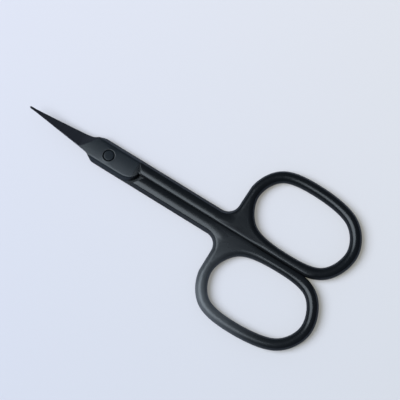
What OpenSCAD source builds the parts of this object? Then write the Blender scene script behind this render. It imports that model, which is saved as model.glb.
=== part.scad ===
/* [Blades] */
// Length from the pivot axis to the tips
blade_reach = 26.8; // [22:0.1:36]
// Distance from the pivot axis to the root of the blades
root_x = 7.2; // [6:0.1:9]
// Width of a blade at its root
root_w = 4.4; // [3.6:0.1:5.6]
// Width of a blade at its blunt tip
tip_w = 0.5; // [0.3:0.05:1]
// Height of the tips above the lap, because the blades curve upwards
blade_rise = 2.6; // [1.5:0.1:4]
// Thickness left at the cutting edge
edge_land = 0.12; // [0.08:0.01:0.25]
// Tilt of the ground outer face of a blade, in degrees
grind_tilt = 19; // [14:1:23]
// Slope at which that grinding runs out into the box, in degrees
runout_slope = 23.5; // [18:0.5:30]
// Distance from the pivot axis to that run-out on the centre line
runout_x = 6.8; // [6:0.1:7.5]

/* [Box] */
// Width across the box and the closed shanks
box_w = 7.8; // [6.8:0.1:9.6]
// Thickness of the box, both laps together
box_t = 3.6; // [3:0.1:4.6]
// Width of the slanted side beside each flat face
side_w = 1; // [0.6:0.1:1.3]
// Length over which the box narrows to the blades
neck_l = 4; // [3:0.1:5]
// Distance from the pivot axis to the round end of each lap
lap_end = 9.9; // [8.5:0.1:11]
// Radius of the round corner of that end
lap_end_r = 4.6; // [3.5:0.1:5.5]

/* [Shanks] */
// Thickness of a shank at its shoulder
shank_t = 3.8; // [3.7:0.1:4.8]
// Distance from the pivot axis to the outer corner of the shoulder
shoulder_x = 9.2; // [8.8:0.1:11]
// Lean of the shoulder from square, in degrees
shoulder_lean = 33; // [25:1:40]
// Distance that the raised top of the upper shank starts ahead of the shoulder
crown_lead = 1.3; // [0.6:0.1:1.6]
// Height of the small chamfer along the inner edge of a shank
inner_chamfer = 0.3; // [0.1:0.05:0.5]
// Radius of the hollow between the shank and the front of the ring
fillet_r = 3.5; // [2.5:0.1:5]

/* [Rings] */
// Distance from the pivot axis to the front of the finger hole
hole_x = 41.4; // [36:0.1:50]
// Length of the finger hole
hole_l = 28.35; // [24:0.05:34]
// Width of the finger hole
hole_w = 17.6; // [15:0.1:22]
// Distance from the centre line to the finger hole
hole_inset = 2.87; // [2.5:0.01:3.3]
// Width of the ring's bar
bar_w = 3.35; // [2.8:0.05:4.2]
// Height of the ring's bar
ring_t = 3.4; // [3:0.1:4.2]

/* [Pivot screw] */
// Diameter of the flat blank head
head_d = 2.85; // [2.6:0.05:3.2]
// Thickness of the head
head_t = 0.7; // [0.5:0.05:1]
// Diameter of the recess that the head lies in
recess_d = 3.3; // [3.1:0.05:4]
// Diameter of the plain neck that the upper half turns on
neck_d = 2.2; // [2.1:0.05:2.5]
// Diameter of the end that is screwed into the lower half
thread_d = 1.9; // [1.6:0.05:2]

/* [Clearances] */
// Gap between the two laps
lap_gap = 0.04; // [0.02:0.01:0.08]
// Gap between the two shanks and rings when closed
shank_gap = 0.06; // [0.04:0.01:0.12]
// Gap round the neck of the screw
neck_gap = 0.04; // [0.02:0.01:0.08]
// Gap under the head of the screw
head_gap = 0.03; // [0.02:0.01:0.06]

/* [Hidden] */
$fn = 96;
coating = [0.13, 0.14, 0.16];
screw_coating = [0.09, 0.10, 0.12];
over = box_t;
lap_z = box_t / 2;
half_w = box_w / 2;
half_gap = shank_gap / 2;
curve_power = 1.5;
side_slant = side_w / lap_z;
// Each shank ends inside the web, a little thinner than it
shank_end_x = hole_x + bar_w;
shank_end_t = ring_t - inner_chamfer / 3;
// The finer point starts at this share of a blade's length, with this share of the tip's width
point_share = 0.86;
point_w_share = 1.6;
blade_steps = 24;
neck_steps = 8;
corner_steps = 10;
// Eight points of the finger hole, front first, as shares of its half length and half width
hole_shares = [
    [1, 0.03], [0.74, 0.85], [0, 1], [-0.72, 0.76],
    [-1, 0.01], [-0.74, -0.83], [0, -1], [0.71, -0.79]
];
span_steps = 8;
web_span_steps = 24;
ring_sides = 16;
section_power = 2.3;
march = bar_w / 16;
hole_centre = [-hole_x - hole_l / 2, hole_inset + hole_w / 2];
face_x = -hole_x + bar_w;
fillet_centre = [face_x + fillet_r, half_w + fillet_r];

// Height of the surface where the two halves meet, at a distance r from the pivot axis.
// It is the same all round the axis, so the curved blades never touch as they swing.
function meet_z(r) = lap_z + blade_rise * pow(max(r - root_x, 0) / (blade_reach - root_x), curve_power);

// A rise from 0 to 1 that starts and ends level.
function ease(t) = t * t * (3 - 2 * t);

// Half width of a blade at a distance x from the pivot axis: a long taper, then a finer point.
point_x = root_x + (blade_reach - root_x) * point_share;
point_half = tip_w / 2 * point_w_share;
function blade_half(x) = x < point_x
    ? root_w / 2 + (point_half - root_w / 2) * (x - root_x) / (point_x - root_x)
    : point_half + (tip_w / 2 - point_half) * (x - point_x) / (blade_reach - point_x);

// Outline of the box and blade on one side, from the box to the tip.
neck_side = [
    for (i = [0 : neck_steps])
        let (t = i / neck_steps)
        [root_x - neck_l * (1 - t), half_w + (root_w / 2 - half_w) * ease(t)]
];
tip_side = [
    [point_x, point_half],
    [blade_reach - tip_w / 4, tip_w / 2],
    [blade_reach, tip_w / 4]
];

// Outline of a lap and its blade. The far side ends in a round corner, and the near side,
// towards plus Y, runs on under the shank.
module lap_outline() {
    corner = [-lap_end + lap_end_r, -half_w + lap_end_r];
    round_end = [
        for (i = [0 : corner_steps])
            let (a = 180 + 90 * i / corner_steps)
            corner + lap_end_r * [cos(a), sin(a)]
    ];
    side = concat(neck_side, tip_side);
    far = [for (p = side) [p.x, -p.y]];
    near = [for (i = [len(side) - 1 : -1 : 0]) side[i]];
    tail_x = -lap_end - crown_lead - neck_l;
    polygon(concat(round_end, far, near, [[tail_x, half_w], [tail_x, half_gap], [-lap_end, half_gap]]));
}

// Long bar of the box's cross-section, from the x given as far as the tips: flat faces and
// two slanted sides that meet at the height of the lap.
module box_bar(from_x) {
    translate([from_x, 0, 0])
        rotate([90, 0, 90])
            linear_extrude(height = blade_reach - from_x + over)
                polygon([
                    [-half_w + side_w, 0], [half_w - side_w, 0], [half_w, lap_z], [half_w - side_w, box_t],
                    [-half_w + side_w, box_t], [-half_w, lap_z]
                ]);
}

// Box and blade of one half at full thickness, before its outer face is ground.
// The blade curves up out of the box's height, so past its root a plain block stands in.
module lap_blank() {
    tall = box_t + blade_rise + over;
    intersection() {
        linear_extrude(height = tall) lap_outline();
        union() {
            box_bar(-lap_end - crown_lead - neck_l);
            translate([root_x + neck_l, -half_w, 0]) cube([blade_reach, box_w, tall]);
        }
    }
}

// Everything above or below the surface where the halves meet, ahead of the shoulder.
module meet_cut(above) {
    shift = (above ? -1 : 1) * lap_gap / 2;
    far_r = blade_reach + over;
    end_z = above ? box_t + blade_rise + 2 * over : -over;
    line = [
        for (i = [0 : blade_steps])
            let (r = root_x + (far_r - root_x) * i / blade_steps)
            [r, meet_z(r) + shift]
    ];
    intersection() {
        rotate_extrude() polygon(concat([[0, lap_z + shift]], line, [[far_r, end_z], [0, end_z]]));
        translate([-shoulder_x, half_w, -2 * over])
            rotate(-shoulder_lean)
                translate([0, -2 * far_r, 0])
                    cube([3 * far_r, 4 * far_r, 4 * over + blade_rise + box_t]);
    }
}

// Height, in the tilted frame of the grinding, of a blade's outer face and of its run-out.
function ground_height(x, side) = cos(grind_tilt)
    * (meet_z(x) + side * (edge_land + blade_half(x) * tan(grind_tilt)));
function runout_height(x, side) = cos(grind_tilt) * (lap_z + side * lap_z)
    - side * tan(runout_slope) * (x - runout_x);

// What grinding takes off the outer face of a blade: side is 1 for the upper blade, on its
// top, and -1 for the lower blade, on its underside.
module ground_off(side) {
    start_x = runout_x - neck_l;
    end_x = blade_reach + over;
    line = [
        for (i = [0 : blade_steps])
            let (x = start_x + (end_x - start_x) * i / blade_steps)
            [x, side > 0
                ? max(ground_height(x, side), runout_height(x, side))
                : min(ground_height(x, side), runout_height(x, side))]
    ];
    far_z = side > 0 ? box_t + blade_rise + 2 * over : -2 * over;
    rotate([grind_tilt, 0, 0])
        translate([0, box_w, 0])
            rotate([90, 0, 0])
                linear_extrude(height = 2 * box_w)
                    polygon(concat(line, [[end_x, far_z], [start_x, far_z]]));
}

// Shank on the plus Y side, from its raised top to the web. Its thickness shrinks a little
// towards the ring. It starts well ahead of the shoulder, whose plane then cuts it off.
module shank() {
    lead_x = -shoulder_x + crown_lead;
    difference() {
        hull() {
            shank_slice(lead_x + neck_l, shank_t);
            shank_slice(-shank_end_x, shank_end_t);
        }
        translate([lead_x, half_w, -over])
            rotate(-shoulder_lean)
                translate([0, -2 * box_w, 0])
                    cube([3 * box_w, 4 * box_w, shank_t + 2 * over]);
    }
}

module shank_slice(x, top) {
    slice = lap_gap;
    translate([x, 0, 0])
        rotate([90, 0, 90])
            linear_extrude(height = slice)
                polygon([
                    [half_gap, inner_chamfer], [half_gap + inner_chamfer, 0], [half_w - side_w, 0],
                    [half_w, lap_z], [half_w - side_slant * (top - lap_z), top],
                    [half_gap + inner_chamfer, top], [half_gap, top - inner_chamfer]
                ]);
}

// Point of the finger hole's outline, which is a smooth closed curve through its eight points,
// and the direction along it.
hole_points = [for (s = hole_shares) hole_centre + [s.x * hole_l / 2, s.y * hole_w / 2]];
function hole_point(i) = hole_points[(i + len(hole_points)) % len(hole_points)];
function four_points(i) = [for (k = [-1 : 2]) hole_point(i + k)];
function on_hole(t) =
    let (s = t - floor(t), q = four_points(floor(t)), turn = 2 * q[0] - 5 * q[1] + 4 * q[2] - q[3])
    (2 * q[1] + (q[2] - q[0]) * s + turn * s * s + (3 * q[1] - q[0] - 3 * q[2] + q[3]) * s * s * s) / 2;
function along_hole(t) =
    let (s = t - floor(t), q = four_points(floor(t)), turn = 2 * q[0] - 5 * q[1] + 4 * q[2] - q[3])
    let (v = (q[2] - q[0]) + 2 * turn * s + 3 * (3 * q[1] - q[0] - 3 * q[2] + q[3]) * s * s)
    v / norm(v);

// Is a point in the web between the ring, the shank and the centre line?
function in_fillet(p) = p.x < fillet_centre.x && p.y < fillet_centre.y
    && (p.y < half_w || norm(p - fillet_centre) > fillet_r);
function in_web(p) = p.y > 0 && (p.x < face_x || in_fillet(p));

// How far the metal reaches from the point p of the finger hole, straight out along n.
// It goes out in steps, then halves the last step a few times.
halvings = 8;
function web_reach(p, n, d) = in_web(p + n * d)
    ? web_reach(p, n, d + march)
    : web_limit(p, n, d - march, d, halvings);
function web_limit(p, n, low, high, turns) = turns == 0 ? low
    : in_web(p + n * (low + high) / 2)
        ? web_limit(p, n, (low + high) / 2, high, turns - 1)
        : web_limit(p, n, low, (low + high) / 2, turns - 1);
function metal_width(p, n) = n.x > 0 && n.y < 0 ? max(bar_w, web_reach(p, n, march)) : bar_w;

// Cross-section of the ring: round ends half a bar wide, and a flat between them where the web is.
function fuller(v) = sign(v) * pow(abs(v), 2 / section_power);
half_step = 180 / ring_sides;
function section_point(k, width) =
    let (a = half_step + k * 2 * half_step, most = fuller(cos(half_step)))
    [(cos(a) > 0 ? width - bar_w / 2 : bar_w / 2) + fuller(cos(a)) / most * bar_w / 2,
        (1 + fuller(sin(a)) / most) * ring_t / 2];

// Places round the finger hole where the cross-section stands, closer together at the web,
// which is the last span between two of the hole's points.
last_span = len(hole_shares) - 1;
stations = concat(
    [for (i = [0 : last_span * span_steps - 1]) i / span_steps],
    [for (i = [0 : web_span_steps - 1]) last_span + i / web_span_steps]
);

// Ring and web on the plus Y side, one surface carried round the finger hole.
module ring() {
    points = [
        for (t = stations)
            let (p = on_hole(t), v = along_hole(t), n = [v.y, -v.x], width = metal_width(p, n))
            for (k = [0 : ring_sides - 1])
                let (q = section_point(k, width))
                [p.x + n.x * q.x, p.y + n.y * q.x, q.y]
    ];
    faces = [
        for (i = [0 : len(stations) - 1], k = [0 : ring_sides - 1])
            let (j = (i + 1) % len(stations), m = (k + 1) % ring_sides)
            each [
                [i * ring_sides + k, j * ring_sides + m, j * ring_sides + k],
                [i * ring_sides + k, i * ring_sides + m, j * ring_sides + m]
            ]
    ];
    difference() {
        polyhedron(points, faces);
        translate([-2 * shank_end_x - hole_l, half_gap - box_w, -over])
            cube([2 * shank_end_x + hole_l, box_w, ring_t + 2 * over]);
    }
}

module handle() {
    ring();
    shank();
}

// Lower half: its blade is the one underneath, and its ring lies on the plus Y side.
module lower_half() {
    color(coating)
        difference() {
            union() {
                lap_blank();
                handle();
            }
            meet_cut(true);
            ground_off(-1);
            translate([0, 0, -over]) cylinder(h = box_t + 2 * over, d = thread_d);
        }
}

// Upper half: its blade is on top, and its ring lies on the minus Y side.
module upper_half() {
    color(coating)
        difference() {
            mirror([0, 1, 0])
                difference() {
                    union() {
                        lap_blank();
                        handle();
                    }
                    meet_cut(false);
                }
            ground_off(1);
            translate([0, 0, -over]) cylinder(h = box_t + 2 * over, d = neck_d + 2 * neck_gap);
            translate([0, 0, box_t - head_t - head_gap]) cylinder(h = head_t + over, d = recess_d);
        }
}

// Screw: a flat head flush in the upper half, a plain neck that stands on the lower half, and
// an end that fills the hole of the lower half and is ground flush with the back.
module pivot_screw() {
    seat_z = lap_z - lap_gap / 2;
    color(screw_coating) {
        translate([0, 0, box_t - head_t]) cylinder(h = head_t, d = head_d);
        translate([0, 0, seat_z]) cylinder(h = box_t - head_t - seat_z, d = neck_d);
        cylinder(h = seat_z, d = thread_d);
    }
}

upper_half();
lower_half();
pivot_screw();
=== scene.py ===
from types import SimpleNamespace

import bmesh
import bpy
import numpy as np
from mathutils import Matrix, Vector


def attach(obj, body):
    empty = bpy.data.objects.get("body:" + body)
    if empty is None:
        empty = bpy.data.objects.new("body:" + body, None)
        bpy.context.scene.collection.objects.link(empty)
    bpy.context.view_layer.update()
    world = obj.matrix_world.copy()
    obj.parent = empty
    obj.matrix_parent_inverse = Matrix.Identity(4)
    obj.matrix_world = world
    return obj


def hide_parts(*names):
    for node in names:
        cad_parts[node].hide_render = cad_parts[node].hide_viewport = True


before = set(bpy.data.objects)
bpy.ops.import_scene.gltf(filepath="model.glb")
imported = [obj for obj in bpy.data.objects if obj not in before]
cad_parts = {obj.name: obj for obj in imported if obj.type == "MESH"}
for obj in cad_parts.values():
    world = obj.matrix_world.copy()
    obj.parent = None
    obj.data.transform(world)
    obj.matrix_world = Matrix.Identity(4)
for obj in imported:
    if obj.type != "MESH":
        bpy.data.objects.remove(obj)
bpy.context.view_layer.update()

# Lower half: blade, lap, shank and finger ring

# One steel forging, ground on the underside of its blade and coated black. Its ring lies
# on the plus Y side, and its blade is the one underneath. Lengths are in millimetres until
# a surface becomes a mesh.

# The box, which is made of both laps, and the gaps between the halves.
box_half = 3.9
box_top = 3.6
flat_half = 2.9
lap_z = 1.8
side_slope = lap_z / (box_half - flat_half)
crown = 0.011
lap_gap = 0.02
centre_gap = 0.03
lap_end_x = 9.0
# The blade, from its root to the rounded nose, and its ground face.
neck_length = 4.0
root_x = 7.2
root_half = 2.2
blade_reach = 26.8
point_x = root_x + 0.86 * (blade_reach - root_x)
point_half = 0.4
tip_half = 0.25
nose_x = 26.2
nose_length = 0.25
nose_share = 0.4
blade_rise = 2.6
rise_power = 1.5
edge_land = 0.12
grind_angle = np.radians(19)
grind = np.tan(grind_angle)
runout_x = 6.8
runout_drop = np.tan(np.radians(23.5)) / np.cos(grind_angle)
runout_soft = 0.25


def ease(t):
    """A rise from 0 to 1 that starts and ends level: t squared times (3 - 2 t)."""
    t = np.clip(t, 0, 1)
    return t * t * (3 - 2 * t)


def higher(a, b, soft):
    """The larger of two heights, with the corner between them rounded over the length soft."""
    return (a + b + np.sqrt((a - b) ** 2 + soft ** 2)) / 2


def blend(share, first, second):
    """Two values mixed, all of the first at a share of 1 and of the second at 0."""
    return share * first + (1 - share) * second


def blade_half(x):
    """Half the blade's width at x: a long straight taper and a shorter one to the tip."""
    return np.interp(x, [root_x, point_x, blade_reach], [root_half, point_half, tip_half])


def outline_half(x):
    """Half the width of box and blade at x: the box, an eased neck, the tapers, and a nose
    that narrows with the square root of what is left of it."""
    neck = blend(ease((x - root_x + neck_length) / neck_length), root_half, box_half)
    nose = np.sqrt(np.clip((nose_x - x) / nose_length, nose_share ** 2, 1.0))
    return np.where(x < root_x, neck, blade_half(x)) * nose


def meet_height(x, y):
    """Height where the halves meet: the lap's, then rising with the distance from the pivot
    to the power 1.5, the same all round, so that the blades pass each other."""
    out = np.clip(np.hypot(x, y) - root_x, 0, None) / (blade_reach - root_x)
    return lap_z + blade_rise * out ** rise_power


def outer_face(x, y, side):
    """Height of the outer face of lap and blade. side is 1 on top and -1 underneath, and y
    runs from the spine (negative) to the cutting edge (positive). It is the lowest of a
    slightly crowned flat, the slanted side and the ground face, whose run-out is hollow."""
    flat = lap_z + side * (lap_z - crown * y * y * (side > 0))
    slant = lap_z + side * (lap_z - (np.abs(y) - flat_half) * side_slope)
    run = side * lap_z + lap_z - side * (runout_drop * (x - runout_x) + grind * y)
    blade = meet_height(x, y) + side * (edge_land + grind * np.clip(blade_half(x) - y, 0, None))
    ground = higher(side * run, side * blade, runout_soft)
    box = np.where(x < lap_end_x, np.minimum(side * flat, side * slant), box_top + blade_rise)
    return side * np.minimum(box, ground)


# The shank's top: its height by the box, its fall towards the ring, and its crown.
shank_high = 3.8
fall_from_x = -3.9
shank_fall = 0.01224
crown_r = 4.2
ridge_y = 1.45
arc_least = 0.5


def shank_top(x, y):
    """Height of a shank's top: it falls a little towards the ring and is crowned across, as
    an arc whose ridge stands off the centre line. Past the shank's sides the arc stays down."""
    bow = crown_r - np.sqrt(np.clip(crown_r ** 2 - (y - ridge_y) ** 2, arc_least, None))
    return shank_high + np.minimum(x - fall_from_x, 0) * shank_fall - bow


# Plan of the rows that cross each half, from the web to the tip. near is the shank's side
# and far the other one. A row is straight, and leans where a step or a ground edge does.
# The shank starts at the port, by the web. The lower half steps down to its lap at the
# shoulder, and the upper half's raised top ends at the crown's step.
lean = np.tan(np.radians(33))
port_x = -34.55
shoulder_x = -9.2
crown_x = -7.9
corner_r = 4.6
corner_c = np.array([-5.3, corner_r - box_half])
corner_from = np.radians(188.4)
corner_steps = 22
# The rows' stretches: along the shank, where they start to lean part of the way, between
# the steps, round the lap's end, on to the pivot and along the blade.
shank_rows = 33
shank_to_x = shoulder_x - 0.25
off_step = 0.3
lean_from_share = 0.375
corner_near_x = -7.35
corner_near_run = 2.75
box_near = (-4.3, -2.9)
box_far = (-4.8, -2.9)
blade_rows = 62
blade_first_x = 9.7
# The square round the pivot, and where the ground edge crosses the two sides of the blade.
patch = 2.52
patch_steps = 22
columns = patch_steps + 3
edge_near_x = 4.066
edge_far_x = 8.35
edge_rows_to_x = 9.4
# A step's wall: how far its rows lie from its middle, and the share of the shank in each.
wall = np.array([-0.12, -0.085, -0.035, -0.017, -0.007, -0.003, 0.003, 0.007, 0.017, 0.05, 0.12])
wall_shares = np.array([1.0, 0.995, 0.97, 0.94, 0.9, 0.62, 0.36, 0.1, 0.04, 0.01, 0.0])
wall_reach = wall[-1]


def row_plan():
    """Near and far ends of the rows, and the numbers of the first rows of the shoulder, the
    raised top, the lap's round end and the square round the pivot."""
    def pairs(x, y):
        return np.stack(np.broadcast_arrays(x, y), 1)

    def to_centre(near_x, slope):
        far_x = near_x - slope * (box_half - centre_gap)
        return pairs(near_x, box_half), pairs(far_x, centre_gap)

    def across_box(near_x, far_x):
        return pairs(near_x, outline_half(near_x)), pairs(far_x, -outline_half(far_x))

    u = np.linspace(0, 1, shank_rows + 1)[:-1]
    shank = to_centre(port_x + (shank_to_x - port_x) * u,
                      lean * ease((u - lean_from_share) / (1 - lean_from_share)))
    turn = np.linspace(corner_from, np.radians(270), corner_steps)
    near_x = corner_near_x + corner_near_run * np.linspace(0, 1, corner_steps)
    round_end = pairs(near_x, box_half), corner_c + corner_r * pairs(np.cos(turn), np.sin(turn))
    square = np.linspace(-patch, patch, patch_steps + 1)
    edge_step = np.array([-wall_reach, -0.05, 0.0, 0.05, wall_reach])
    nose = nose_x - nose_length + nose_length * np.sin(np.linspace(0.1, np.pi / 2, 9))
    straight = np.linspace(blade_first_x, nose_x - 2 * nose_length, blade_rows)
    blade = np.concatenate([straight, nose])
    parts = [
        shank,
        to_centre(shoulder_x + wall, lean),
        to_centre(np.linspace(shoulder_x + off_step, crown_x - off_step, 5), lean),
        to_centre(crown_x + wall, lean),
        to_centre(crown_x + np.array([off_step, 0.5]), lean),
        round_end,
        across_box(np.linspace(*box_near, 6), np.linspace(*box_far, 6)),
        across_box(square, square),
        across_box(np.linspace(patch, edge_near_x - wall_reach, 20)[1:-1],
                   np.linspace(patch, edge_far_x - wall_reach, 20)[1:-1]),
        across_box(edge_near_x + edge_step, edge_far_x + edge_step),
        across_box(np.linspace(edge_near_x + wall_reach, edge_rows_to_x, 22)[1:],
                   np.linspace(edge_far_x + wall_reach, edge_rows_to_x, 22)[1:]),
        across_box(blade, blade)]
    near, far = (np.concatenate(end) for end in zip(*parts))
    ends = np.cumsum([len(part[0]) for part in parts])
    return near, far, ends[0], ends[2], ends[4], ends[6]


# Small sizes shrink with the blade where it is narrower than this, down to a least share.
thin_half = 1.2
thin_least = 0.12


def lay_rows():
    """The rows with the ways in from their ends, their shares of the shank and of its raised
    top, and how much smaller than on the box their edges are."""
    near, far, shoulder_row, raised_row, bend_row, square_row = row_plan()
    row = np.arange(len(near))
    shank = np.where(row < shoulder_row, 1.0, 0.0)
    shank[shoulder_row:shoulder_row + len(wall)] = wall_shares
    raised = np.where(row < raised_row, 1.0, 0.0)
    raised[raised_row:raised_row + len(wall)] = wall_shares
    behind = row < bend_row
    across = far - near
    near_in = across / np.abs(across[:, 1:])
    # On the lap's round end the far side is measured square to the edge.
    off_arc = np.abs(np.hypot(*(far - corner_c).T) - corner_r)
    on_bend = (off_arc < 1e-6) & (far[:, 1] < centre_gap + 0.01)
    far_in = np.where(on_bend[:, None], (corner_c - far) / corner_r, -near_in)
    far_in = np.where(behind[:, None], [0.0, 1.0], far_in)
    thin = np.clip(outline_half(np.maximum(near[:, 0], far[:, 0])) / thin_half, thin_least, 1)
    return SimpleNamespace(
        near=near, far=far, near_in=near_in, far_in=far_in, shank=shank, raised=raised,
        before_raised=row < raised_row, behind=behind, on_bend=on_bend, thin=thin,
        square_row=square_row)


def face_heights(rows, side):
    """The heights of a half's top and underside, as functions of x and y. The shank's and the
    lap's are mixed by each row's share."""
    shank = rows.shank[:, None]
    raised = rows.raised[:, None]
    if side > 0:
        return (lambda x, y: blend(raised, shank_top(x, y), outer_face(x, y, 1)),
                lambda x, y: (1 - shank) * (meet_height(x, y) + lap_gap))
    return (lambda x, y: blend(shank, shank_top(x, y), meet_height(x, y) - lap_gap),
            lambda x, y: outer_face(x, y, -1))


# The shank's edges: how far in its slanted side and its lower edge reach, how far in and
# up the lower edge along the centre line does, and how far in and down the upper one does
# on the upper (1) and the lower half (-1).
slant_in = 0.84
low_in = 1.0
facing_low = 0.3
facing_edge = {1: (0.42, 0.27), -1: (0.3, 0.22)}
# Half the height of the narrow face that is left round the shank's side, and the least
# height of the one round the lap.
band_half = 0.03
band_least = 0.02
# The least inset of the slanted side, that of the lap's round end, and how fast it grows
# from there. The laps' meeting faces have a hair's breadth taken off their edges.
bevel_least = 0.06
bend_least = 0.1
bend_power = 2.3
hair_in = 0.03
hair_up = 0.04
# How far the roundings reach on the shank, and on the laps of the upper and lower half.
top_r = 0.4
facing_top_r = {1: 0.2, -1: 0.4}
low_r = 0.35
facing_low_r = 0.15
band_r = 0.2
lap_top_r = {1: 0.5, -1: 0.03}
lap_low_r = {1: 0.03, -1: 0.12}
lap_band_r = 0.08
crisp_r = 0.025
# On the upper lap's flat, up to where the blade starts, the roundings reach further.
flat_to_x = 7.4
flat_run = 1.4
flat_more_r = 0.1
# How far in from a corner its rounding starts to be led, how much more on that flat and
# along the shank, and the most that it and a rounding may take of the way there is.
lead_step = 0.35
flat_lead = 0.45
shank_lead = 0.5
lead_most = 0.3
round_most = 0.48


def corner_insets(rows, side):
    """How far in from the row's ends the corners lie: near and far on top, near and far
    underneath, and the far slanted side by itself. The slanted side of the lap reaches in to
    the flat, or to the ground run-out where that has cut into it."""
    near_half = rows.near[:, 1]
    flat_near = np.full(len(near_half), flat_half)
    for _ in range(4):
        x = rows.near[:, 0] + rows.near_in[:, 0] * (near_half - flat_near)
        cut = side_slope * flat_half + runout_drop * (x - runout_x)
        flat_near = np.clip(cut / (side_slope - grind), flat_half, None)
    bevel_near = np.clip(near_half - flat_near, bevel_least, None)
    bevel_far = np.clip(np.abs(rows.far[:, 1]) - flat_half, bevel_least, None)
    bend = np.abs(rows.far_in[:, 1]) ** bend_power * (box_half - flat_half)
    bevel_far = np.where(rows.on_bend, np.clip(bend, bend_least, None), bevel_far)
    bevel_far = np.where(rows.behind, bend_least, bevel_far)
    facing_in = facing_edge[side][0]
    lap_in = hair_in * rows.thin
    if side > 0:
        return (blend(rows.raised, slant_in, bevel_near), blend(rows.raised, facing_in, bevel_far),
                blend(rows.shank, low_in, lap_in), blend(rows.shank, facing_low, lap_in), bevel_far)
    return (blend(rows.shank, slant_in, lap_in), blend(rows.shank, facing_in, lap_in),
            bevel_near, np.where(rows.behind, facing_low, bevel_far), bevel_far)


def edge_heights(rows, side, far_top_z, bevel_far):
    """Heights of the two corners on each side's edge: near upper, near lower, far upper and
    far lower. The lap's outer one follows its outer face, and its inner one the other lap."""
    hair = hair_up * rows.thin

    def lap_edge(plan, face):
        meet = meet_height(*plan.T)
        outer = np.maximum(side * face, side * meet + lap_gap + 2 * hair)
        return side * outer, meet + side * (lap_gap + hair)

    face_far = np.where(rows.on_bend, lap_z + side * (lap_z - bevel_far * side_slope),
                        outer_face(*rows.far.T, side))
    outer_near, inner_near = lap_edge(rows.near, outer_face(*rows.near.T, side))
    outer_far, inner_far = lap_edge(rows.far, face_far)
    facing_z = far_top_z - facing_edge[side][1]
    band_top = lap_z + band_half
    band_low = lap_z - band_half
    if side > 0:
        near_lower = blend(rows.shank, band_low, inner_near)
        near_upper = blend(rows.raised, band_top, outer_near)
        near_upper = np.maximum(near_upper, near_lower + band_least)
        far_upper = np.where(rows.behind, facing_z, blend(rows.raised, facing_z, outer_far))
        return near_upper, near_lower, far_upper, blend(rows.shank, facing_low, inner_far)
    near_upper = blend(rows.shank, band_top, inner_near)
    near_lower = np.where(rows.before_raised, band_low, outer_near)
    near_lower = np.minimum(near_lower, near_upper - band_least)
    far_upper = blend(rows.shank, facing_z, inner_far)
    return near_upper, near_lower, far_upper, np.where(rows.behind, facing_low, outer_far)


def soft_corner(before, corner, after, radius):
    """Five points of a curve that rounds a corner: a parabola from radius before it to
    radius after it, or to halfway where the neighbour is close."""
    back, on = before - corner, after - corner
    a = np.linalg.norm(back, axis=1, keepdims=True) + 1e-9
    b = np.linalg.norm(on, axis=1, keepdims=True) + 1e-9
    start = corner + back * np.minimum(radius[:, None] / a, round_most)
    end = corner + on * np.minimum(radius[:, None] / b, round_most)
    t = np.linspace(0, 1, 5)[None, :, None]
    return ((1 - t) ** 2 * start[:, None] + 2 * t * (1 - t) * corner[:, None]
            + t * t * end[:, None])


def lifted(plan, heights):
    """Points over a plan at the heights given."""
    return np.concatenate([plan, np.reshape(heights, (-1, 1))], 1)


def on_surface(plan, surface):
    """Points over a plan at the height of a surface."""
    return lifted(plan, surface(plan[:, :1], plan[:, 1:2]))


def led_in(corner, other, surface, step):
    """A point of the surface a step in from a corner, towards the one across, to lead its
    rounding."""
    away = other[:, :2] - corner[:, :2]
    size = np.linalg.norm(away, axis=1, keepdims=True)
    part = np.minimum(np.reshape(step, (-1, 1)) / size, lead_most)
    return on_surface(corner[:, :2] + away * part, surface)


def sheet(start, end, surface):
    """Columns across a face, evenly spaced from one corner's rounding to the other's."""
    t = np.linspace(0, 1, columns)[None, 1:-1, None]
    plan = blend(t, end[:, None, :2], start[:, None, :2])
    z = surface(plan[:, :, 0], plan[:, :, 1])
    return np.concatenate([plan, z[:, :, None]], 2)


def side_chain(corners, across, surfaces, lead, reaches):
    """The roundings down one side of the rows, at its corner on top, the two on its edge and
    the one underneath. across holds the other side's corners."""
    on_top, upper, lower, below = corners
    top, under = surfaces
    return np.concatenate([
        soft_corner(led_in(on_top, across[0], top, lead), on_top, upper, reaches[0]),
        soft_corner(on_top, upper, lower, reaches[1]),
        soft_corner(upper, lower, below, reaches[1]),
        soft_corner(lower, below, led_in(below, across[3], under, lead_step), reaches[2])], 1)


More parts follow.
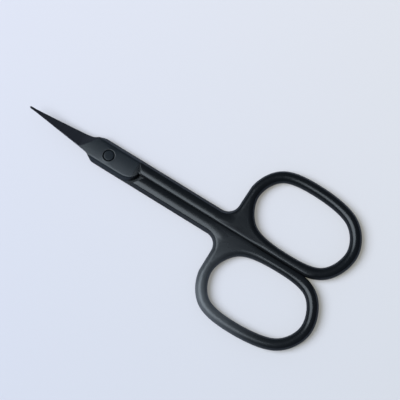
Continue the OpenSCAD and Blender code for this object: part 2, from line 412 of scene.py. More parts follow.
def half_rows(side):
    """Closed cross-sections from the web to the tip, one a row. side is -1 for the half
    whose lap is below and 1 for the one above. Going round: top, far side, underside, near
    side, each corner rounded."""
    rows = lay_rows()
    surfaces = top, under = face_heights(rows, side)
    insets = corner_insets(rows, side)
    near_top = on_surface(rows.near + rows.near_in * insets[0][:, None], top)
    far_top = on_surface(rows.far + rows.far_in * insets[1][:, None], top)
    near_low = on_surface(rows.near + rows.near_in * insets[2][:, None], under)
    far_low = on_surface(rows.far + rows.far_in * insets[3][:, None], under)
    heights = edge_heights(rows, side, far_top[:, 2], insets[4])
    near = near_top, *(lifted(rows.near, z) for z in heights[:2]), near_low
    far = far_top, *(lifted(rows.far, z) for z in heights[2:]), far_low
    top_share = rows.raised if side > 0 else rows.shank
    on_flat = np.clip((flat_to_x - rows.far[:, 0]) / flat_run, 0, 1)
    on_flat = on_flat * (1 - rows.raised) * (side > 0)
    flat_r = flat_more_r * on_flat
    near_reaches = (blend(top_share, top_r, lap_top_r[side]) * rows.thin + flat_r,
                    blend(top_share, band_r, lap_band_r) * rows.thin,
                    blend(rows.shank, low_r, lap_low_r[side]) * rows.thin)
    far_reaches = (blend(top_share, facing_top_r[side], lap_top_r[side]) * rows.thin + flat_r,
                   crisp_r * (1 + 2 * rows.thin),
                   blend(rows.shank, facing_low_r, lap_low_r[side]) * rows.thin)
    lead = lead_step + flat_lead * on_flat
    near_chain = side_chain(near, far, surfaces, lead, near_reaches)
    far_chain = side_chain(far, near, surfaces, lead + shank_lead * top_share, far_reaches)
    top_face = sheet(near_chain[:, 0], far_chain[:, 0], top)
    low_face = sheet(far_chain[:, -1], near_chain[:, -1], under)
    return near_chain, far_chain, top_face, low_face, rows.square_row


# The finger ring and the web, in the same plan: an oval bar round the hole, which widens
# into the web towards the shank. Its oval is flatter where the two rings face.
bar_w = 3.35
ring_t = 3.4
hole = np.array([
    [-41.4, 12.0], [-45.1, 19.15], [-55.575, 20.47], [-65.78, 18.36],
    [-69.75, 11.76], [-66.06, 4.37], [-55.575, 2.87], [-45.51, 4.72]])
crest = bar_w / 2
side_share = 0.97
oval_power = 2.0
facing_power = 3.6
face_x = -38.05
fillet_r = 3.5
fillet_c = np.array([face_x + fillet_r, box_half + fillet_r])
# Where the rows of each stretch lie on the hole's curve, counted in its eight points.
free_from = 0.15
line_from = 6.5
port_from = 7.2
arc_from = 7.32
face_from = 7.62
free_rows, line_rows, arc_rows, face_rows, spread_rows = 169, 40, 24, 14, 6
# Where on that count the bar comes to lie along the centre line, and over how much.
close_from = 5.4
close_run = 0.5
# How near the centre line the bar's oval is flatter, and how gradually.
facing_y = 1.1
facing_run = 0.9
# Where along the centre line the shank's own profile starts, over how much it takes over,
# and over how much the way in turns square to it.
own_from_x = -51.0
own_run = 6.5
square_run = 9.0
# How soon the edge reaches the centre line, how softly it and the facing sides turn there,
# and how far the shank's profile has eased out at the fillet's end.
line_haste = 1.3
line_soft = 0.1
facing_soft = 0.02
fillet_share = 0.9
# The web's lines: how many, how far they fan out from the shank, and for how long.
web_columns = 7
port_fan = 0.25
web_pull = 0.7
relax_rounds = 600


def along_hole(t):
    """Point of the hole's edge and the way out of the hole there. The edge is a closed
    Catmull-Rom curve through eight points."""
    i = np.floor(t).astype(int)
    s = (t - i)[:, None]
    q = [hole[(i + k) % len(hole)] for k in (-1, 0, 1, 2)]
    c2 = 2 * q[0] - 5 * q[1] + 4 * q[2] - q[3]
    c3 = 3 * q[1] - q[0] - 3 * q[2] + q[3]
    point = (2 * q[1] + (q[2] - q[0]) * s + c2 * s ** 2 + c3 * s ** 3) / 2
    run = (q[2] - q[0]) + 2 * c2 * s + 3 * c3 * s ** 2
    run = run / np.linalg.norm(run, axis=1, keepdims=True)
    return point, np.stack([run[:, 1], -run[:, 0]], 1)


def ring_plan():
    """The rows round the hole in plan: the hole's edge, the outer edge, the ways in from it
    and on into the web, the shares of the shank's own profile and of the flatter oval, and
    how much of the bar's width there is room for. The outer edge is a bar's width out. Along
    the web it follows the centre line, the shank's first row, a fillet and the ring's front."""
    t = np.concatenate([
        np.linspace(free_from, line_from, free_rows + 1)[:-1],
        np.linspace(line_from, port_from, line_rows + 1)[:-1],
        np.linspace(port_from, arc_from, columns),
        np.linspace(arc_from, face_from, arc_rows + 1)[1:],
        np.linspace(face_from, len(hole) + free_from, face_rows + 1)[1:-1]])
    line = slice(free_rows, free_rows + line_rows)
    port_first = line.stop
    port_last = port_first + columns - 1
    arc = slice(port_last + 1, port_last + 1 + arc_rows)
    face = slice(arc.stop, len(t))
    point, out = along_hole(t)
    outer = point + out * bar_w
    outer[:, 1] = higher(outer[:, 1], centre_gap, line_soft)
    close = ease((t - close_from) / close_run) * (t <= line_from)
    outer[:, 1] += (centre_gap - outer[:, 1]) * close
    room = np.clip(np.linalg.norm(outer - point, axis=1) / bar_w, None, 1.0)[:, None]
    facing = ease((facing_y - outer[:, 1]) / facing_run)
    facing[line] = 1.0
    facing[port_first:] = 0.0
    inward = -out
    weight = np.zeros(len(t))
    # Along the centre line, from the inner bar to the shank.
    start = outer[line.start]
    u = np.linspace(0, 1, line_rows + 1)[:-1]
    outer[line, 0] = start[0] + (port_x - start[0]) * u ** 2
    outer[line, 1] = start[1] + (centre_gap - start[1]) * ease(u * line_haste)
    weight[line] = ease((outer[line, 0] - own_from_x) / own_run)
    turn = ease((outer[line, 0] - start[0]) / square_run)[:, None]
    inward[line] = inward[line.start] + (np.array([0.0, 1.0]) - inward[line.start]) * turn
    # Round the fillet.
    u = np.linspace(0, 1, arc_rows + 1)[1:]
    angle = np.radians(270 - 90 * u)
    inward[arc] = np.stack([np.cos(angle), np.sin(angle)], 1)
    outer[arc] = fillet_c + fillet_r * inward[arc]
    weight[arc] = 1 - ease(fillet_share * u)
    # Up the front of the ring.
    u = np.linspace(0, 1, face_rows + 1)[1:-1]
    outer[face, 0] = face_x + (outer[0, 0] - face_x) * u
    outer[face, 1] = fillet_c[1] + (outer[0, 1] - fillet_c[1]) * u
    back = np.array([-1.0, 0.0])
    inward[face] = back + (inward[0] - back) * u[:, None]
    weight[face] = (1 - ease(fillet_share)) * (1 - ease(u * 2))
    # The web's lines reach the outer end square to the edge, but along the shank at its end.
    toward = -inward
    fan = np.linspace(-port_fan, port_fan, columns)
    toward[port_first:arc.start] = np.stack([np.ones(columns), fan], 1)
    for k in range(1, spread_rows + 1):
        turn = 1 - k / (spread_rows + 1)
        for end, row in ((port_first, port_first - k), (port_last, port_last + k)):
            toward[row] = toward[end] * turn - inward[row] * (1 - turn)
    return SimpleNamespace(
        point=point, out=out, outer=outer, inward=inward, toward=toward, weight=weight,
        facing=facing, room=room, line=line, port_first=port_first, port_last=port_last)


def oval_side(count, power):
    """Inset and height of points round one side of the bar, a half superellipse of the power
    given for each row, from near the crest on top to the same place underneath."""
    power = power[:, None]
    a = np.arccos((1 - side_share) ** (power / 2)) * np.linspace(1, -1, count)
    inset = crest * (1 - np.abs(np.cos(a)) ** (2 / power))
    return inset, ring_t / 2 * (1 + np.sign(a) * np.abs(np.sin(a)) ** (2 / power))


def toward_shank(ring, rows, around, up, chain, sign):
    """Outer sides of rows of the ring, which go over from the bar's oval to the shank's
    first cross-section by the row's weight."""
    weight = ring.weight[rows][:, None]
    edge_y = box_half if sign < 0 else centre_gap
    inset = blend(weight, sign * (chain[0, :, 1] - edge_y), around[rows])
    z = blend(weight, chain[0, :, 2], up[rows])
    plan = ring.outer[rows][:, None] + ring.inward[rows][:, None] * inset[:, :, None]
    return np.concatenate([plan, z[:, :, None]], 2)


def relaxed(grid, rounds):
    """The points inside a grid, moved towards their neighbours with the weights of an
    elliptic grid: along and across count by the square of the other way's spacing."""
    grid = grid.copy()
    for _ in range(rounds):
        down = (grid[2:, 1:-1] - grid[:-2, 1:-1])[:, :, :2] / 2
        side = (grid[1:-1, 2:] - grid[1:-1, :-2])[:, :, :2] / 2
        a = (side ** 2).sum(2, keepdims=True)
        b = (side * down).sum(2, keepdims=True)
        c = (down ** 2).sum(2, keepdims=True)
        twist = (grid[2:, 2:] - grid[:-2, 2:] - grid[2:, :-2] + grid[:-2, :-2]) / 4
        grid[1:-1, 1:-1] = (a * (grid[2:, 1:-1] + grid[:-2, 1:-1])
                            + c * (grid[1:-1, 2:] + grid[1:-1, :-2])
                            - 2 * b * twist) / (2 * (a + c))
    return grid


def web_face(ring, start, end):
    """The face between the hole's side and the outer one. Each line is a cubic curve in plan
    and eases from height to height. The web's are then relaxed as an elliptic grid, whose
    lines never cross."""
    width = np.linalg.norm(end[:, :2] - start[:, :2], axis=1)
    c = np.linspace(0, 1, web_columns + 2)[None, :, None]
    leave = (ring.out * width[:, None])[:, None]
    arrive = (ring.toward * (width * np.where(ring.weight > 0, web_pull, 1.0))[:, None])[:, None]
    plan = ((2 * c ** 3 - 3 * c ** 2 + 1) * start[:, None, :2]
            + (c ** 3 - 2 * c ** 2 + c) * leave
            + (3 * c ** 2 - 2 * c ** 3) * end[:, None, :2]
            + (c ** 3 - c ** 2) * arrive)
    z = blend(ease(c), end[:, None, 2:], start[:, None, 2:])
    grid = np.concatenate([plan, z], 2)
    web = np.r_[ring.line.start - 1:len(grid), 0]
    grid[web] = relaxed(grid[web], relax_rounds)
    return grid[:, 1:-1]


def ring_rows(near_chain, far_chain, top_face, low_face):
    """Closed cross-sections round the finger hole, the first and last row where the shank
    joins, and the column from which it does. There the outer side is the shank's first
    cross-section."""
    ring = ring_plan()
    chain = near_chain.shape[1]
    inset, z = oval_side(chain, blend(ring.facing, facing_power, oval_power))
    inset = inset * ring.room
    outer_side = toward_shank(ring, slice(None), inset, z, near_chain, -1)
    outer_side[ring.line] = toward_shank(ring, ring.line, inset, z, far_chain, 1)
    outer_side[ring.port_first] = far_chain[0]
    outer_side[ring.port_last] = near_chain[0]
    middle = slice(ring.port_first + 1, ring.port_last)
    outer_side[middle, 0] = top_face[0, ::-1]
    outer_side[middle, -1] = low_face[0]
    inset, z = oval_side(chain, np.full(len(ring.point), oval_power))
    hole_side = np.concatenate([
        ring.point[:, None] + ring.out[:, None] * (inset * ring.room)[:, ::-1, None],
        z[:, ::-1, None]], 2)
    top_web = web_face(ring, hole_side[:, -1], outer_side[:, 0])
    low_web = web_face(ring, hole_side[:, 0], outer_side[:, -1])[:, ::-1]
    loops = np.concatenate([hole_side, top_web, outer_side, low_web], 1)
    return loops, ring.port_first, ring.port_last, chain + web_columns


def grid_faces(rows, across, wrap_rows=False):
    """Four corner numbers of each face of a grid of points, closed across."""
    i = np.arange(rows if wrap_rows else rows - 1)
    i, j = np.meshgrid(i, np.arange(across), indexing="ij")
    i2, j2 = (i + 1) % rows, (j + 1) % across
    return np.stack([i * across + j, i * across + j2, i2 * across + j2, i2 * across + j], 2)


collar = 0.12


def pivot_hole(top_edge, low_edge, steps):
    """The hole round the pivot: from the square left in the top, in to a circle a collar's
    width off, down the steps (radius, height) and out to the square left underneath."""
    def circle(edge, radius):
        a = np.arctan2(edge[:, 1], edge[:, 0])
        return radius * np.stack([np.cos(a), np.sin(a)], 1)

    def to_circle(edge, step, shares):
        ring = circle(edge, step[0] + collar)
        return [lifted(blend(s, ring, edge[:, :2]), blend(s, step[1], edge[:, 2]))
                for s in shares]

    shares = (0, 0.3, 0.6, 0.85, 1)
    loops = to_circle(top_edge, steps[0], shares)
    loops += [lifted(circle(top_edge, radius), np.full(len(top_edge), z)) for radius, z in steps]
    loops += to_circle(low_edge, steps[-1], shares[::-1])
    return np.stack(loops)


def half_surface(side, steps):
    """All points and faces of one half, in the lower half's plan: the rows to the tip, the
    ring and web, and the pivot hole, which share their borders."""
    near_chain, far_chain, top_face, low_face, square_row = half_rows(side)
    loops = np.concatenate([near_chain[:, :1], top_face, far_chain, low_face,
                            near_chain[:, :0:-1]], 1)
    rows, across = loops.shape[:2]
    chain = near_chain.shape[1]
    low_from = 1 + top_face.shape[1] + chain
    r0, r1 = square_row, square_row + patch_steps

    def border(j0):
        j1 = j0 + patch_steps
        return np.concatenate([loops[r0, j0:j1], loops[r0:r1, j1], loops[r1, j1:j0:-1],
                               loops[r1:r0:-1, j0]])

    faces = grid_faces(rows, across)
    keep = np.ones(faces.shape[:2], bool)
    keep[r0:r1, 1:1 + patch_steps] = False
    keep[r0:r1, low_from:low_from + patch_steps] = False
    low_edge = border(low_from)
    # Underneath, the columns run the other way, so its square is read from its other end.
    low_edge = np.concatenate([low_edge[patch_steps::-1], low_edge[:patch_steps:-1]])
    tube = pivot_hole(border(1), low_edge, steps)
    tube_faces = grid_faces(*tube.shape[:2])
    ring, port_first, port_last, port_from_column = ring_rows(
        near_chain, far_chain, top_face, low_face)
    ring_faces = grid_faces(*ring.shape[:2], wrap_rows=True)
    open_port = np.ones(ring_faces.shape[:2], bool)
    open_port[port_first:port_last, port_from_column:port_from_column + chain - 1] = False
    tip = loops[-1].mean(0, keepdims=True)
    points = np.concatenate([loops.reshape(-1, 3), tube.reshape(-1, 3), ring.reshape(-1, 3), tip])
    at_tube = rows * across
    at_ring = at_tube + tube.shape[0] * tube.shape[1]
    quads = np.concatenate([faces[keep], tube_faces.reshape(-1, 4) + at_tube,
                            ring_faces[open_port] + at_ring])
    cap = np.stack([np.arange(across), (np.arange(across) + 1) % across], 1)
    tris = np.concatenate([cap + at_tube - across, np.full((across, 1), len(points) - 1)], 1)
    # The halves' facing sides are flat along the centre line.
    handle = points[:, 0] < port_x - 0.001
    points[handle, 1] = higher(points[handle, 1], centre_gap, facing_soft)
    return points, quads, tris


def places(mesh):
    """The mesh's points in millimetres."""
    place = np.empty(len(mesh.vertices) * 3)
    mesh.vertices.foreach_get("co", place)
    return place.reshape(-1, 3) * 1000


def normals(mesh):
    """The ways that the mesh's points face."""
    normal = np.empty(len(mesh.vertices) * 3)
    mesh.vertex_normals.foreach_get("vector", normal)
    return normal.reshape(-1, 3)


def mark(mesh, name, values):
    """A named value at each point of a mesh, which its material reads."""
    mesh.attributes.new(name, "FLOAT", "POINT").data.foreach_set("value", values)


# Rubbing, with the highlight painted along it, starts where a surface bends more than this, as 1
# over the radius, and is full this much further on.
wear_highlight_from = 0.7
wear_highlight_run = 3.0


def edge_wear_and_highlight(mesh):
    """How strongly each point stands out, from 0 to 1, for the paler edges and the highlights
    painted on them: the mean over its edges of twice the drop from its tangent plane over the
    edge's length squared, which is 1 over the radius."""
    count = len(mesh.vertices)
    place = places(mesh)
    ends = np.empty(len(mesh.edges) * 2, int)
    mesh.edges.foreach_get("vertices", ends)
    ends = ends.reshape(-1, 2)
    here, there = np.concatenate([ends, ends[:, ::-1]]).T
    step = place[there] - place[here]
    length = np.linalg.norm(step, axis=1) + 1e-6
    bend = -2 * (normals(mesh)[here] * step).sum(1) / length ** 2
    weight = np.bincount(here, length, count)
    sharp = np.bincount(here, bend * length, count) / weight
    sharp = np.clip((sharp - wear_highlight_from) / wear_highlight_run, 0, 1)
    for _ in range(2):
        sharp = 0.5 * sharp + 0.5 * np.bincount(here, sharp[there] * length, count) / weight
    return sharp


steep_from = 0.78
steep_run = 0.3


def flank_share(mesh):
    """0 on faces that lie level and 1 on steep ones, from how far up or down a point faces."""
    return ease((steep_from - np.abs(normals(mesh)[:, 2])) / steep_run)


def satin_share(mesh):
    """1 on the lap, whose flat was ground before it was coated, and 0 on shank and ring."""
    return ease((places(mesh)[:, 0] - shoulder_x) / (crown_x - shoulder_x))


border_run = 0.1
face_reach = 0.08


def ground_share(mesh, side, mirror):
    """1 on the ground outer face of a blade and 0 elsewhere, with a narrow soft border."""
    x, y, z = places(mesh).T
    y = y * mirror
    past = np.clip((x + y * grind / runout_drop - runout_x) / border_run, 0, 1)
    return past * (np.abs(z - outer_face(x, y, side)) < face_reach)


# Painted light: the front of the lower ring, on the side the light comes from, is painted lighter.
# These are the patch's middle and reach.
lit_patch_at = (-42.5, 22.5)
lit_patch_r = 13.5


def lit_patch_share(mesh):
    """How strong the painted light patch is at each point: 1 at the front of the ring, falling off
    as a bell curve."""
    x, y, z = places(mesh).T
    return np.exp(-((x - lit_patch_at[0]) ** 2 + (y - lit_patch_at[1]) ** 2) / lit_patch_r ** 2)


def new_object(name, data):
    """An object of the scene that shows the data given."""
    made = bpy.data.objects.new(name, data)
    bpy.context.scene.collection.objects.link(made)
    return made


def make_piece(name, points, faces, coating):
    """A coated mesh object from points in millimetres. Borders that meet are joined and the
    faces are turned outwards."""
    mesh = bpy.data.meshes.new(name)
    mesh.from_pydata((points * 0.001).tolist(), [], [f for group in faces for f in group.tolist()])
    bm = bmesh.new()
    bm.from_mesh(mesh)
    bmesh.ops.remove_doubles(bm, verts=bm.verts, dist=2e-7)
    bmesh.ops.dissolve_degenerate(bm, edges=bm.edges, dist=1e-8)
    bmesh.ops.delete(bm, geom=[v for v in bm.verts if not v.link_faces], context="VERTS")
    bmesh.ops.recalc_face_normals(bm, faces=bm.faces)
    bm.to_mesh(mesh)
    bm.free()
    mesh.shade_smooth()
    mark(mesh, "worn_highlit", edge_wear_and_highlight(mesh))
    mark(mesh, "flank", flank_share(mesh))
    mark(mesh, "satin", satin_share(mesh))
    mesh.materials.append(coating)
    return new_object(name, mesh)


def feed(tree, socket, value):
    """A number, a colour or another node's output, put into a socket."""
    if isinstance(value, bpy.types.NodeSocket):
        tree.links.new(value, socket)
    elif socket.type == "RGBA":
        socket.default_value = (*value, 1)
    else:
        socket.default_value = value


def add_node(tree, kind, values=(), **settings):
    """A shader node with its settings and what is fed into its inputs."""
    node = tree.nodes.new("ShaderNode" + kind)
    for key, value in settings.items():
        setattr(node, key, value)
    for key, value in dict(values).items():
        feed(tree, node.inputs[key], value)
    return node


def own_value(tree, name):
    """The piece's own value of that name."""
    return add_node(tree, "Attribute", attribute_name=name).outputs["Fac"]


def number_between(tree, share, first, second):
    """A number that goes from first to second with the share."""
    return add_node(tree, "Mix", {"Factor": share, "A": first, "B": second}).outputs["Result"]


def colour_between(tree, share, first, second):
    """A colour that goes from first to second with the share."""
    values = {"Factor": share, 6: first, 7: second}
    return add_node(tree, "Mix", values, data_type="RGBA").outputs[2]


def spread(tree, value, limits, low=0.0):
    """A value between two limits, spread evenly over the range from low to 1."""
    values = {"Value": value, "From Min": limits[0], "From Max": limits[1], "To Min": low}
    return add_node(tree, "MapRange", values).outputs["Result"]


def noise(tree, place, scale, detail, **more):
    """Fractal noise at a place, round 0.5."""
    values = {"Vector": place, "Scale": scale, "Detail": detail, **more}
    return add_node(tree, "TexNoise", values).outputs["Fac"]


def product(tree, first, second):
    """Two numbers multiplied, held from 0 to 1."""
    node = add_node(tree, "Math", {0: first, 1: second}, operation="MULTIPLY", use_clamp=True)
    return node.outputs["Value"]


def new_group(name, inputs, outputs):
    """A shader node group with named number sockets, and its inner input and output."""
    tree = bpy.data.node_groups.new(name, "ShaderNodeTree")
    for way, keys in (("INPUT", inputs), ("OUTPUT", outputs)):
        for key in keys:
            tree.interface.new_socket(key, in_out=way, socket_type="NodeSocketFloat")
    return tree, tree.nodes.new("NodeGroupInput"), tree.nodes.new("NodeGroupOutput")


def grain_group():
    """Height of the coating's fine grain, and a coarser mottle of handling marks, both from
    0 to 1."""
    tree, given, out = new_group("coating_grain", ["Scale"], ["Height", "Mottle"])
    place = add_node(tree, "TexCoord").outputs["Object"]
    fine = noise(tree, place, given.outputs["Scale"], 3.0, Roughness=0.6)
    broad = noise(tree, place, 210.0, 5.0, Distortion=0.6)
    feed(tree, out.inputs["Height"], fine)
    feed(tree, out.inputs["Mottle"], spread(tree, broad, (0.36, 0.66)))
    return tree


def rubbed_highlit_group():
    """A mask of edges thinned by rubbing, which also paints highlight lines along them: the piece's
    own value of how far it stands out, broken up by noise.
    """
    tree, given, out = new_group("rubbed_highlit_edges", ["Strength"], ["Mask"])
    place = add_node(tree, "TexCoord").outputs["Object"]
    patchy = noise(tree, place, 700.0, 6.0, Roughness=0.65)
    patches = spread(tree, patchy, (0.38, 0.68), low=0.15)
    broken = product(tree, own_value(tree, "worn_highlit"), patches)
    feed(tree, out.inputs["Mask"], product(tree, broken, given.outputs["Strength"]))
    return tree


coating_grain = grain_group()
rubbed_highlit_edges = rubbed_highlit_group()
satin_black = (0.0062, 0.0095, 0.0135)
cool_gleam = (0.77, 0.885, 1.0)
# Roughness of the coating where marks of handling are least and most, on the lap, and on
# steep flanks.
coat_rough = (0.26, 0.225)
satin_rough = 0.285
flank_rough = 0.55


def coated_steel(name, dark, pale, bare_highlit, wear_highlight, gleam, marks=()):
    """Satin black oxide on steel: a fine grain, marks of handling that change colour and gloss a
    little, a bluer and more satin lap, duller flanks, and edges thinned paler by rubbing, which
    also paints highlight lines along them. The marks are functions that add what one piece has
    besides, painted light among them."""
    material = bpy.data.materials.new(name)
    material.use_nodes = True
    tree = material.node_tree
    grain = add_node(tree, "Group", {"Scale": 9000.0}, node_tree=coating_grain)
    rubbed_highlit = add_node(tree, "Group", {"Strength": wear_highlight}, node_tree=rubbed_highlit_edges)
    coat = SimpleNamespace(mottle=grain.outputs["Mottle"], rubbed_highlit=rubbed_highlit.outputs["Mask"],
                           height=grain.outputs["Height"])
    satin = own_value(tree, "satin")
    colour = colour_between(tree, coat.mottle, dark, pale)
    colour = colour_between(tree, satin, colour, satin_black)
    # Paler edges, which are partly a painted highlight along them.
    coat.colour = colour_between(tree, coat.rubbed_highlit, colour, bare_highlit)
    rough = number_between(tree, coat.mottle, *coat_rough)
    rough = number_between(tree, satin, rough, satin_rough)
    coat.rough = number_between(tree, own_value(tree, "flank"), rough, flank_rough)
    for add_mark in marks:
        add_mark(tree, coat)
    bump = add_node(tree, "Bump", {"Height": coat.height, "Strength": 0.2, "Distance": 0.000006})
    shader = tree.nodes["Principled BSDF"]
    feed(tree, shader.inputs["Base Color"], coat.colour)
    feed(tree, shader.inputs["Roughness"], coat.rough)
    feed(tree, shader.inputs["Normal"], bump.outputs["Normal"])
    feed(tree, shader.inputs["Specular IOR Level"], gleam)
    feed(tree, shader.inputs["Specular Tint"], cool_gleam)
    return material


# Colour and roughness of the painted light patch.
lit_patch_grey = (0.07, 0.083, 0.097)
lit_patch_rough = 0.46


def painted_lit_patch(tree, coat):
    """Painted light: a greyish, duller patch that makes the front of the lower ring, on the side
    the light comes from, read lighter. It is thinner where the mottle is low.
    """
    patchy = number_between(tree, coat.mottle, 0.75, 1.0)
    share = product(tree, own_value(tree, "lit_patch"), patchy)
    coat.colour = colour_between(tree, share, coat.colour, lit_patch_grey)
    coat.rough = number_between(tree, share, coat.rough, lit_patch_rough)


ground_dark = (0.0075, 0.009, 0.013)
ground_pale = (0.0152, 0.0178, 0.0245)
ground_bare_highlit = (0.05, 0.056, 0.068)
ground_rough = 0.36


def grind_lines(tree, coat):
    """On the ground faces: a bluer, duller coating and fine lines across the blade, which
    are noise drawn out sideways."""
    place = add_node(tree, "TexCoord").outputs["Object"]
    drawn_out = add_node(tree, "Mapping", {
        "Vector": place, "Rotation": (0, 0, 0.3), "Scale": (9000, 240, 240)})
    streaks = noise(tree, drawn_out.outputs["Vector"], 1.0, 3.0)
    lines = spread(tree, streaks, (0.33, 0.67))
    colour = colour_between(tree, lines, ground_dark, ground_pale)
    # The ground faces' paler edges, which are partly a painted highlight.
    colour = colour_between(tree, coat.rubbed_highlit, colour, ground_bare_highlit)
    ground = own_value(tree, "ground")
    coat.colour = colour_between(tree, ground, coat.colour, colour)
    coat.rough = number_between(tree, ground, coat.rough, ground_rough)
    coat.height = number_between(tree, ground, coat.height, lines)


# Its marks hold the painted light patch on the lower ring and the ground faces' lines.
black_coating = coated_steel(
    "black_coating", dark=(0.0034, 0.0047, 0.0063), pale=(0.0048, 0.0062, 0.008),
    bare_highlit=(0.1, 0.108, 0.116), wear_highlight=0.7, gleam=0.45, marks=(painted_lit_patch, grind_lines))
# Radius and height down the hole for the screw's thin end.
screw_hole = [(0.95, 1.78), (0.95, 1.4), (0.95, 0.9), (0.95, 0.4), (0.95, 0.05), (1.0, 0.0)]
points, quads, tris = half_surface(-1, screw_hole)
lower_piece = make_piece("lower_half_forging", points, [quads, tris], black_coating)
mark(lower_piece.data, "ground", ground_share(lower_piece.data, -1, 1))
# Painted light on the front of the lower ring.
mark(lower_piece.data, "lit_patch", lit_patch_share(lower_piece.data))
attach(lower_piece, "lower")
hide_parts("lower_half")

# Upper half

# The other forging, coated the same. Its lap lies on the lower one, with a round recess
# for the screw head, and its ring lies on the minus Y side.

# Radius and height down the recess and the hole for the screw's neck.
head_seat = [(1.73, 3.6), (1.68, 3.565), (1.66, 3.5), (1.65, 3.2), (1.65, 2.95), (1.62, 2.89),
             (1.55, 2.87), (1.3, 2.87), (1.14, 2.87), (1.14, 2.5), (1.14, 2.1), (1.14, 1.82)]
points, quads, tris = half_surface(1, head_seat)
points[:, 1] *= -1
upper_piece = make_piece("upper_half_forging", points, [quads, tris], black_coating)
mark(upper_piece.data, "ground", ground_share(upper_piece.data, 1, -1))
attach(upper_piece, "upper")
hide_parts("upper_half")

# Pivot screw

# A turned steel shoulder screw, coated black. Its blank flat head lies in the recess, and
# its end is ground flush with the back of the lower half.


def turned(profile, count=96):
    """A closed surface turned about the pivot axis, from radii and heights."""
    profile = np.array(profile)
    a = np.linspace(0, 2 * np.pi, count, endpoint=False)
    r, z = profile[:, 0][:, None], profile[:, 1][:, None]
    grid = np.stack([r * np.cos(a), r * np.sin(a), np.broadcast_to(z, (len(profile), count))], 2)
    return grid.reshape(-1, 3), grid_faces(len(profile), count).reshape(-1, 4)


# Radius and height from the middle of the thin end to the middle of the head.
screw_profile = [
    (0.0, 0.0), (0.5, 0.0), (0.84, 0.0), (0.9, 0.02), (0.92, 0.08), (0.94, 0.9), (0.94, 1.76),
    (1.09, 1.78), (1.1, 1.84), (1.1, 2.88), (1.36, 2.9), (1.42, 2.93), (1.45, 3.0),
    (1.45, 3.46), (1.435, 3.53), (1.39, 3.57), (1.3, 3.588), (0.9, 3.594), (0.45, 3.597),
    (0.0, 3.6)]
points, quads = turned(screw_profile)
screw_coating = coated_steel("screw_coating", dark=satin_black, pale=satin_black,
                             bare_highlit=(0.03, 0.034, 0.04), wear_highlight=0.4, gleam=0.18)
screw = make_piece("flush_screw", points, [quads], screw_coating)
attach(screw, "lower")
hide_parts("pivot_screw")

# Table, light and camera

# The scissors lie on a plain pale table in soft light from the tips' side. The table is one square,
# and its material adds painted light that only the camera sees, which lifts the shadows on it.
# Lengths are in metres.

table_half = 1.2
table_z = -0.00002
table_mesh = bpy.data.meshes.new("table")
ways = ((-1, -1), (1, -1), (1, 1), (-1, 1))
table_mesh.from_pydata([(x * table_half, y * table_half, table_z) for x, y in ways],
                       [], [(0, 1, 2, 3)])
table = new_object("table", table_mesh)
table_colour = (0.405, 0.448, 0.551)
# Painted light that only the camera sees on the table, lifting its shadows: its colour at the
# middle.
painted_light_middle = (0.208, 0.199, 0.179)
# The gap behind the lap, and how far round it the painted light is held back, which paints a shadow
# there.
gap_at = (-0.0097, 0.0003, 0)
painted_shadow_reach = (0.0016, 0.0024)


def painted_light_along(tree, position, ends, change, base):
    """Painted light: a colour that changes evenly from the base for each metre along an axis, and
    no further past the two ends."""
    held = add_node(tree, "Clamp", {"Value": position, "Min": ends[0], "Max": ends[1]})
    values = {0: held.outputs["Result"], 1: change, 2: base}
    return add_node(tree, "VectorMath", values, operation="MULTIPLY_ADD").outputs["Vector"]


def pale_surface():
    """A plain matt table. The camera also sees painted light on it, which lifts the shadows and
    changes evenly in brightness along X and Y. This light is left out in the gap behind the lap,
    which lies in the halves' shadow and so is painted darker. From underneath the table is clear,
    so that the backs can be seen."""
    material = bpy.data.materials.new("pale_table")
    material.use_nodes = True
    tree = material.node_tree
    shader = tree.nodes["Principled BSDF"]
    feed(tree, shader.inputs["Base Color"], table_colour)
    feed(tree, shader.inputs["Roughness"], 0.9)
    place = add_node(tree, "TexCoord").outputs["Object"]
    along = add_node(tree, "SeparateXYZ", {"Vector": place}).outputs
    # Painted light, changing evenly in brightness along X and Y.
    painted_light_colour = painted_light_along(tree, along["X"], (-0.11, 0.06), (0.058, 0.072, 0.406), painted_light_middle)
    painted_light_colour = painted_light_along(tree, along["Y"], (-0.09, 0.08), (-0.625, -0.498, -0.228), painted_light_colour)
    # A painted shadow in the gap behind the lap, where the camera's painted light is held back.
    off_gap = add_node(tree, "VectorMath", {0: place, 1: gap_at}, operation="DISTANCE")
    clear_of_painted_shadow = spread(tree, off_gap.outputs["Value"], painted_shadow_reach)
    camera_ray = add_node(tree, "LightPath").outputs["Is Camera Ray"]
    painted_light_strength = product(tree, clear_of_painted_shadow, camera_ray)
    glow = add_node(tree, "Emission", {"Color": painted_light_colour, "Strength": painted_light_strength})
    seen = add_node(tree, "AddShader", {0: shader.outputs["BSDF"], 1: glow.outputs["Emission"]})
    from_below = add_node(tree, "NewGeometry").outputs["Backfacing"]
    clear = add_node(tree, "BsdfTransparent").outputs["BSDF"]
    one_sided = add_node(tree, "MixShader", {0: from_below, 1: seen.outputs["Shader"], 2: clear})
    feed(tree, tree.nodes["Material Output"].inputs["Surface"], one_sided.outputs["Shader"])
    return material


table.data.materials.append(pale_surface())

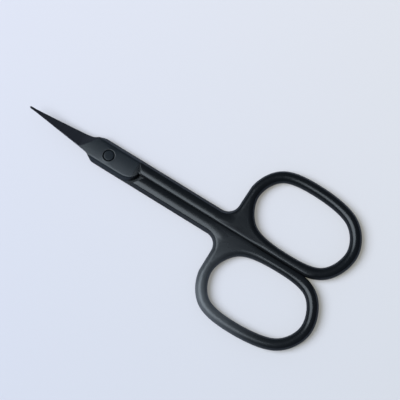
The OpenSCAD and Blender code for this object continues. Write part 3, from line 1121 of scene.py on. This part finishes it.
# The room lights the object with one even colour, gleams in another and shows a third.
world = bpy.data.worlds.new("room")
bpy.context.scene.world = world
world.use_nodes = True
tree = world.node_tree
sky = tree.nodes["Background"]
feed(tree, sky.inputs["Color"], (0.24, 0.264, 0.3))
ray_kind = add_node(tree, "LightPath")
for ray, colour in (("Is Glossy Ray", (0.064, 0.07, 0.08)), ("Is Camera Ray", (0.69, 0.755, 0.87))):
    other = add_node(tree, "Background", {"Color": colour}).outputs[0]
    sky = add_node(tree, "MixShader", {0: ray_kind.outputs[ray], 1: sky.outputs[0], 2: other})
feed(tree, tree.nodes["World Output"].inputs["Surface"], sky.outputs["Shader"])

object_middle = Vector((-0.025, 0, 0))
lamp_distance = 2.0


def soft_lamp(name, direction, size, power, colour, gleams):
    """A round lamp that faces the middle of the object from the direction given. It either
    lights the surfaces or makes the gleam on them."""
    data = bpy.data.lights.new(name, "AREA")
    data.shape = "DISK"
    data.size = size
    data.energy = power
    data.color = colour
    lamp = new_object(name, data)
    way = Vector(direction).normalized()
    lamp.location = object_middle + way * lamp_distance
    lamp.rotation_euler = way.to_track_quat("Z", "Y").to_euler()
    lamp.visible_glossy = gleams
    lamp.visible_diffuse = not gleams


soft_lamp("window", direction=(0.5, 0.29, 0.82), size=1.6, power=56.0,
          colour=(1.0, 0.985, 0.965), gleams=False)
soft_lamp("window_gleam", direction=(0.43, 0.35, 0.83), size=2.0, power=42.0,
          colour=(1.0, 0.99, 0.97), gleams=True)

# The camera looks almost straight down, with the tips upper left.
right = Vector((-0.8452, -0.5332, -0.0366)).normalized()
back = Vector((-0.1300, 0.1387, 0.9818)).normalized()
up = back.cross(right).normalized()
right = up.cross(back)
camera_data = bpy.data.cameras.new("camera")
camera_data.lens = 112.5
camera = new_object("camera", camera_data)
placing = Matrix((right, up, back)).transposed().to_4x4()
placing.translation = (-0.07292, 0.04498, 0.34105)
camera.matrix_world = placing
bpy.context.scene.camera = camera
bpy.context.scene.view_settings.view_transform = "Standard"
